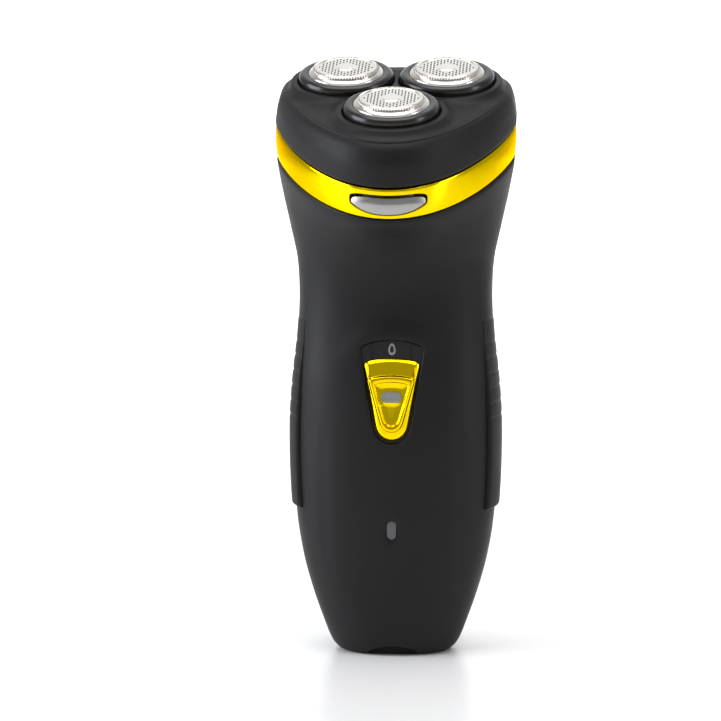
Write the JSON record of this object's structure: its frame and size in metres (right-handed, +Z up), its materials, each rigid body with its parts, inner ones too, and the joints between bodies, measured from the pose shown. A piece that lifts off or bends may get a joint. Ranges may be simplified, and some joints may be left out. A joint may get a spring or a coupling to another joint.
{
  "type": "three-head rotary shaver",
  "caption": "Hand-held rotary shaver with a flip-open head of three floating cutters, a slide switch, a gold trim band with a release button and a charging inlet.",
  "frame": {"origin": "middle of the flat base that the shaver stands on", "axes": "+Z up the handle to the shaving head, -Y out of the front with the switch, +X to the right as seen from the front"},
  "size_m": [0.064, 0.062, 0.1593],
  "materials": {
    "shell_black": "soft-touch paint, satin",
    "grip_black": "soft rubber, matte",
    "gloss_black": "polished",
    "gold_chrome": "yellow gold plated, mirror",
    "steel": "polished nickel steel",
    "satin_silver": "satin",
    "clear_lens": "clear",
    "nylon_white": "moulded",
    "abs_grey": "moulded",
    "spring_steel": "drawn wire",
    "brass": "machined",
    "board_green": "solder mask",
    "cell_wrap": "shrink sleeve",
    "magnet": "sintered ferrite",
    "copper_winding": "enamelled winding",
    "seal_rubber": "matte",
    "wire_sleeve": "PVC sleeve",
    "led_body": "clear red epoxy"
  },
  "bodies": {
    "handle": {"front_shell": "shell_black", "rear_shell": "shell_black", "grip_left": "grip_black", "grip_right": "grip_black", "trim_band": "gold_chrome", "base_cap": "shell_black", "inlet_pins": "steel", "switch_track": "gloss_black", "slide_switch": "abs_grey", "circuit_board": "board_green", "board_components": "gloss_black", "charge_led": "led_body", "led_lens": "clear_lens", "battery_cells": "cell_wrap", "contact_tabs": "steel", "battery_cradle": "abs_grey", "motor_can": "steel", "motor_end_cap": "nylon_white", "motor_magnets": "magnet", "gear_axles": "spring_steel", "gearbox_base": "abs_grey", "chassis_screws": "spring_steel", "head_frame": "shell_black", "chamber_floor": "gloss_black", "spindle_seals": "seal_rubber", "hinge_pin": "spring_steel", "release_spring": "spring_steel", "case_screws": "spring_steel", "motor_leads": "wire_sleeve", "inlet_leads": "wire_sleeve"},
    "switch": {"switch_slider": "gold_chrome", "slider_window": "satin_silver", "switch_actuator": "nylon_white"},
    "release": {"release_button": "satin_silver"},
    "rotor": {"motor_rotor": "copper_winding", "pinion": "brass"},
    "head": {"head_cover": "shell_black", "retaining_frame": "abs_grey"},
    "knob": {"lock_knob": "gold_chrome"},
    "ring_left": {"guard_ring_left": "gloss_black", "guard_left": "steel"},
    "cutter_left": {"cutter_left": "steel", "carrier_left": "gloss_black"},
    "gear_left": {"gear_left": "nylon_white", "spindle_spring_left": "spring_steel"},
    "spindle_left": {"spindle_left": "nylon_white"},
    "ring_right": {"guard_ring_right": "gloss_black", "guard_right": "steel"},
    "cutter_right": {"cutter_right": "steel", "carrier_right": "gloss_black"},
    "gear_right": {"gear_right": "nylon_white", "spindle_spring_right": "spring_steel"},
    "spindle_right": {"spindle_right": "nylon_white"},
    "ring_front": {"guard_ring_front": "gloss_black", "guard_front": "steel"},
    "cutter_front": {"cutter_front": "steel", "carrier_front": "gloss_black"},
    "gear_front": {"gear_front": "nylon_white", "spindle_spring_front": "spring_steel"},
    "spindle_front": {"spindle_front": "nylon_white"}
  },
  "joints": [
    {"name": "head_hinge", "type": "hinge", "parent": "handle", "child": "head", "pos_m": [0, 0.0214, 0.1509], "axis": [-1, 0, 0], "range_deg": [0, 105]},
    {"name": "lock_turn", "type": "hinge", "parent": "head", "child": "knob", "pos_m": [0, -0.007, 0.1543], "axis": [0, -0.2924, 0.9563], "range_deg": [0, 90]},
    {"name": "release_slide", "type": "slide", "parent": "handle", "child": "release", "axis": [0, 0.9272, 0.3746], "range_m": [0, 0.0016], "stiffness_N_per_m": 600, "springref_m": -0.0006, "deforming": ["release_spring"]},
    {"name": "switch_slide", "type": "slide", "parent": "handle", "child": "switch", "axis": [0, 0.0523, 0.9986], "range_m": [0, 0.0045]},
    {"name": "motor_spin", "type": "hinge", "parent": "handle", "child": "rotor", "pos_m": [0, -0.007, 0.1543], "axis": [0, -0.2924, 0.9563], "continuous": true},
    {"name": "float_left", "type": "slide", "parent": "head", "child": "ring_left", "axis": [0, 0.2924, -0.9563], "range_m": [0, 0.0012], "stiffness_N_per_m": 500, "springref_m": -0.002},
    {"name": "cutter_spin_left", "type": "hinge", "parent": "ring_left", "child": "cutter_left", "pos_m": [-0.01342, 0.00041, 0.15657], "axis": [0, -0.2924, 0.9563], "continuous": true},
    {"name": "gear_spin_left", "type": "hinge", "parent": "handle", "child": "gear_left", "pos_m": [-0.01342, 0.00041, 0.15657], "axis": [0, -0.2924, 0.9563], "continuous": true},
    {"name": "spindle_slide_left", "type": "slide", "parent": "gear_left", "child": "spindle_left", "axis": [0, 0.2924, -0.9563], "range_m": [0, 0.0012], "deforming": ["spindle_spring_left"]},
    {"name": "float_right", "type": "slide", "parent": "head", "child": "ring_right", "axis": [0, 0.2924, -0.9563], "range_m": [0, 0.0012], "stiffness_N_per_m": 500, "springref_m": -0.002},
    {"name": "cutter_spin_right", "type": "hinge", "parent": "ring_right", "child": "cutter_right", "pos_m": [0.01342, 0.00041, 0.15657], "axis": [0, -0.2924, 0.9563], "continuous": true},
    {"name": "gear_spin_right", "type": "hinge", "parent": "handle", "child": "gear_right", "pos_m": [0.01342, 0.00041, 0.15657], "axis": [0, -0.2924, 0.9563], "continuous": true},
    {"name": "spindle_slide_right", "type": "slide", "parent": "gear_right", "child": "spindle_right", "axis": [0, 0.2924, -0.9563], "range_m": [0, 0.0012], "deforming": ["spindle_spring_right"]},
    {"name": "float_front", "type": "slide", "parent": "head", "child": "ring_front", "axis": [0, 0.2924, -0.9563], "range_m": [0, 0.0012], "stiffness_N_per_m": 500, "springref_m": -0.002},
    {"name": "cutter_spin_front", "type": "hinge", "parent": "ring_front", "child": "cutter_front", "pos_m": [0, -0.02182, 0.14977], "axis": [0, -0.2924, 0.9563], "continuous": true},
    {"name": "gear_spin_front", "type": "hinge", "parent": "handle", "child": "gear_front", "pos_m": [0, -0.02182, 0.14977], "axis": [0, -0.2924, 0.9563], "continuous": true},
    {"name": "spindle_slide_front", "type": "slide", "parent": "gear_front", "child": "spindle_front", "axis": [0, 0.2924, -0.9563], "range_m": [0, 0.0012], "deforming": ["spindle_spring_front"]}
  ],
  "couplings": [
    {"joint": "cutter_spin_left", "follows": "motor_spin", "ratio": -0.5},
    {"joint": "gear_spin_left", "follows": "motor_spin", "ratio": -0.5},
    {"joint": "spindle_slide_left", "follows": "float_left", "ratio": 1},
    {"joint": "cutter_spin_right", "follows": "motor_spin", "ratio": -0.5},
    {"joint": "gear_spin_right", "follows": "motor_spin", "ratio": -0.5},
    {"joint": "spindle_slide_right", "follows": "float_right", "ratio": 1},
    {"joint": "cutter_spin_front", "follows": "motor_spin", "ratio": -0.5},
    {"joint": "gear_spin_front", "follows": "motor_spin", "ratio": -0.5},
    {"joint": "spindle_slide_front", "follows": "float_front", "ratio": 1}
  ]
}
